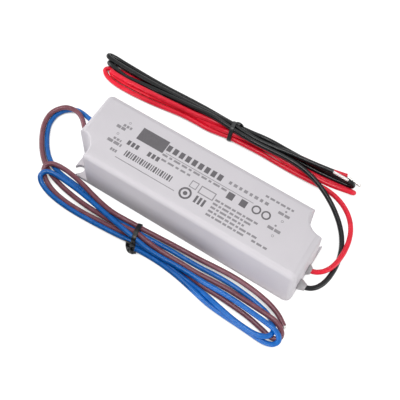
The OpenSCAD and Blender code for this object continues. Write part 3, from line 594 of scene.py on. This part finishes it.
def bar(x, y, length, width, line=0):
    """A plain bar round its middle, or its outline where it has a line width."""
    made = begin("plane", location=(x * MM, y * MM, (ROOF - INK_ROOT) * MM), size=MM)
    bpy.ops.transform.resize(value=(length, width, 1), center_override=(x * MM, y * MM, ROOF * MM))
    if line:
        hollow(line)
    return raise_ink(made)


def disc(x, y, radius, line=0):
    """A plain disc, or a ring where it has a line width."""
    made = begin("circle", location=(x * MM, y * MM, (ROOF - INK_ROOT) * MM), vertices=32, radius=radius * MM,
                 fill_type="NGON")
    if line:
        hollow(line)
    return raise_ink(made)


def row(start, end, y, width, lengths, gap):
    """A row of plain dashes of the given lengths in turn, as far as the row's end."""
    dashes, x, turn = [], start, 0
    while x < end - gap:
        length = min(lengths[turn % len(lengths)], end - x)
        dashes.append(bar(x + length / 2, y, length, width))
        x, turn = x + length + gap, turn + 1
    return dashes


def print_marks(name, ink, bars, discs, rows):
    """One layer of print: its bars, its discs and its rows, each listed as the function above takes it."""
    marks = [bar(*mark) for mark in bars] + [disc(*mark) for mark in discs]
    for mark in rows:
        marks += row(*mark)
    finish(join(marks, name), name, ink, "case_plastic", angle=10)


# The block of fine rows at the right: its first row, the step to the next, and where each row ends
BLOCK_START, BLOCK_TOP, BLOCK_STEP, BLOCK_ENDS = 11.4, -3.6, 1.95, (33.6, 31, 28, 36, 30)

print_marks(
    "roof_print", INK,
    bars=[(-27.4, 6.3, 14, 6.6), (16, 1.4, 3.2, 3.4), (22.4, 1.4, 3.2, 3.4)]
    + [(x, -7.9, 1.1, 3.6) for x in (4.2, 6.1, 8)],
    discs=[(-1.2, -8, 2.9, 0.9), (-1.2, -8, 1), (28.6, 1.9, 2.1, 0.7), (33.4, 1.9, 2.1, 0.7)],
    rows=[
        (-20, 10.6, 6.7, 3.1, (2.2,), 1.1),
        (-36.4, -30, -0.6, 2.4, (1.5,), 0.7),
        (-25.6, -19.4, -0.6, 2.4, (1.5,), 0.7),
        (-34.2, -9.6, -5.7, 3, (0.5, 0.9, 0.5), 0.55),
    ],
)
print_marks(
    "fine_roof_print", FAINT_INK,
    bars=[(-21.3, -9.7, 31, 0.35), (3.5, 3.9, 45, 0.3), (0, -2.6, 3.6, 3.6, 0.4), (6.8, -2.9, 7.6, 4, 0.5)],
    discs=[
        (39.8, 8, 0.5), (40.6, 3.2, 0.6, 0.2), (39.2, 0, 0.5), (40.4, -4.8, 0.6, 0.2), (-41, 8, 0.6, 0.2),
        (-42.6, 0.6, 0.6, 0.2)
    ],
    rows=[
        (-20, 13.6, 2.7, 1, (2.6, 1.4, 3.2), 1),
        (-19, -4, 0.3, 1, (2.4, 3, 1.6), 1),
        (34, 42.4, -11.4, 1, (1.8, 2.4), 0.7),
        (12, 32, 6.9, 1.5, (1.3, 1.7), 1.1),
        (28.6, 42.4, 10, 1, (1.6, 2.2), 0.7),
        (37, 42.4, 6.2, 1.3, (2.6,), 0.5),
        (36.4, 43, -2, 1.4, (2.8,), 0.5),
        (-45.5, -40.5, 4, 1.5, (2.1,), 0.4),
        (-43, -38.6, 5.8, 1.3, (1.2,), 0.5),
        (-45, -37.6, -3.9, 1.5, (2.8,), 0.5),
        (-43, -39, -2, 1.2, (1.2,), 0.5),
        (-41, -37.6, -7.4, 1.4, (0.9,), 0.3),
    ] + [
        (BLOCK_START, end, BLOCK_TOP - BLOCK_STEP * k, 1, (2.3, 1.2, 3.1, 1.8), 0.6) for k, end in enumerate(BLOCK_ENDS)
    ],
)

# ---------------------------------------------------------------- the wires, in place of the leads and hanks

for wire, route, insulation, replaced, pieces in (
    ("brown", BROWN_ROUTE, BROWN, ("brown_lead", "input_hank"), [input_strap, collars["brown"], brown_tin]),
    ("blue", BLUE_ROUTE, BLUE, ("blue_lead",), [collars["blue"], blue_tin]),
    ("red", RED_ROUTE, RED, ("red_lead", "output_hank"), [output_strap, collars["red"], red_tin]),
    ("black", BLACK_ROUTE, BLACK, ("black_lead",), [collars["black"], black_tin]),
):
    cord = add_cord(wire + "_wire", route, insulation)
    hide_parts(*replaced)

# ---------------------------------------------------------------- the solids that stay

# The resin, the board in it and what the board carries
INNER_NODES = (
    "potting", "circuit_board", "fuse", "varistor", "film_capacitor", "line_choke", "bridge_rectifier",
    "storage_capacitor", "transformer_core", "transformer_former", "transformer_winding", "switch_transistor",
    "heat_spreader", "controller_chip", "feedback_coupler", "safety_capacitor", "output_diode", "output_capacitors"
)


def finish_node(name, look):
    """Gives a solid that stays as it is its finished material."""
    mesh = NODES[name].data
    mesh.materials.clear()
    mesh.materials.append(look)


finish_node("base_plate", PLATE)
for name in INNER_NODES:
    finish_node(name, HIDDEN)

# ---------------------------------------------------------------- floor and light

# Middle of the dark cloth beside the case that only the bounced light meets, its radius, and where it has faded
CLOTH_MIDDLE, CLOTH_RADIUS, CLOTH_FADED = (-0.04, -0.05, 0), 30 * MM, 90 * MM
# How far the painted shade in the gaps under and between the strands reaches
PAINTED_SHADE_REACH = 2 * MM
FLOOR_SIZE = 6
# A dark card on edge before the supply wires: its middle, length and height
CARD_MIDDLE = (-0.043, -0.043, 0.0115)
CARD_LENGTH, CARD_HEIGHT = 0.125, 0.016
# Strength of the room's even light
ROOM_LIGHT = 0.28
# Soft boxes: name, place, size and power
LIGHTS = (
    ("key", (-0.05, -0.12, 0.74), (0.2, 0.2), 1.95),
    ("front", (-0.1, -0.8, 0.3), (0.6, 0.3), 3.2),
    ("rear", (-0.12, 0.42, 0.62), (0.4, 0.3), 0.5),
    ("left", (-0.75, -0.1, 0.16), (0.5, 0.3), 1.8),
    ("right", (0.75, 0.1, 0.25), (0.5, 0.4), 1.85),
)
LIGHT_AIM = Vector((0, 0, 0.01))


def rays_that_see(tree):
    """One where the camera, a reflection or a look through something meets the surface, and nought elsewhere."""
    path = node(tree, "ShaderNodeLightPath").outputs
    direct = node(tree, "ShaderNodeMath", {"operation": "MAXIMUM"},
                  {0: path["Is Camera Ray"], 1: path["Is Transmission Ray"]})
    return node(tree, "ShaderNodeMath", {"operation": "MAXIMUM"},
                {0: direct.outputs[0], 1: path["Is Glossy Ray"]})


def add_floor():
    """A pale floor that the camera sees as white but for its soft shadows and a painted shade in narrow gaps."""
    made, tree, out = material("floor")
    seen = rays_that_see(tree)
    place = node(tree, "ShaderNodeTexCoord").outputs["Object"]
    away = node(tree, "ShaderNodeVectorMath", {"operation": "DISTANCE", 1: CLOTH_MIDDLE}, {0: place})
    share = node(tree, "ShaderNodeMapRange", {"From Min": CLOTH_RADIUS, "From Max": CLOTH_FADED},
                 {"Value": away.outputs["Value"]})
    shade = node(tree, "ShaderNodeMix", {"data_type": "RGBA"}, {0: share.outputs[0]})
    shade.inputs[6].default_value = rgb("#1c1c1c")
    shade.inputs[7].default_value = rgb("#f0f0f0")
    matt = node(tree, "ShaderNodeBsdfDiffuse", None, {"Color": shade.outputs[2]})
    pale = node(tree, "ShaderNodeBsdfDiffuse", {"Color": rgb("#8c8c8c")})
    # Painted shade: ambient occlusion dims the white glow that the camera sees, so narrow gaps and the feet of the
    # strands look shaded
    near = node(tree, "ShaderNodeAmbientOcclusion", {"Distance": PAINTED_SHADE_REACH, "samples": 8})
    gap = node(tree, "ShaderNodeMapRange", {"From Min": 0.2, "From Max": 0.6, "To Min": 0.08, "To Max": 0.95},
               {"Value": near.outputs["AO"]})
    glow = node(tree, "ShaderNodeEmission", {"Color": (1, 1, 1, 1)}, {"Strength": gap.outputs[0]})
    bright = node(tree, "ShaderNodeAddShader", None, {0: pale.outputs[0], 1: glow.outputs[0]})
    both = node(tree, "ShaderNodeMixShader", None, {0: seen.outputs[0], 1: matt.outputs[0], 2: bright.outputs[0]})
    tree.links.new(both.outputs[0], out.inputs[0])
    bpy.ops.mesh.primitive_plane_add(size=FLOOR_SIZE, location=(0, 0, 0))
    floor = bpy.context.object
    floor.name = "floor"
    floor.data.materials.append(made)


def add_card():
    """A card that no camera ray meets. It shades the foot of the case's front from the low light."""
    made, tree, out = material("card")
    dark = node(tree, "ShaderNodeBsdfDiffuse", {"Color": rgb("#202020")})
    tree.links.new(dark.outputs[0], out.inputs[0])
    bpy.ops.mesh.primitive_plane_add(size=1, location=CARD_MIDDLE, rotation=(math.radians(90), 0, 0))
    card = bpy.context.object
    card.name = "card"
    card.scale = (CARD_LENGTH, CARD_HEIGHT, 1)
    card.visible_camera = card.visible_transmission = False
    card.data.materials.append(made)


def add_light(name, place, size, power):
    """A soft box that faces the case."""
    data = bpy.data.lights.new(name, "AREA")
    data.shape = "RECTANGLE"
    data.size, data.size_y = size
    data.energy = power
    lamp = bpy.data.objects.new(name, data)
    bpy.context.scene.collection.objects.link(lamp)
    lamp.location = place
    lamp.rotation_euler = (LIGHT_AIM - Vector(place)).to_track_quat("-Z", "Y").to_euler()


def add_world():
    """An even grey room that is white where the camera or a reflection sees it."""
    world = bpy.data.worlds.new("room")
    bpy.context.scene.world = world
    world.use_nodes = True
    tree = world.node_tree
    tree.nodes.clear()
    out = tree.nodes.new("ShaderNodeOutputWorld")
    seen = rays_that_see(tree)
    dim = node(tree, "ShaderNodeBackground", {"Color": (1, 1, 1, 1), "Strength": ROOM_LIGHT})
    white = node(tree, "ShaderNodeBackground", {"Color": (1, 1, 1, 1), "Strength": 1})
    both = node(tree, "ShaderNodeMixShader", None, {0: seen.outputs[0], 1: dim.outputs[0], 2: white.outputs[0]})
    tree.links.new(both.outputs[0], out.inputs[0])


add_floor()
add_card()
add_world()
for light in LIGHTS:
    add_light(*light)
bpy.context.scene.view_settings.view_transform = "Standard"
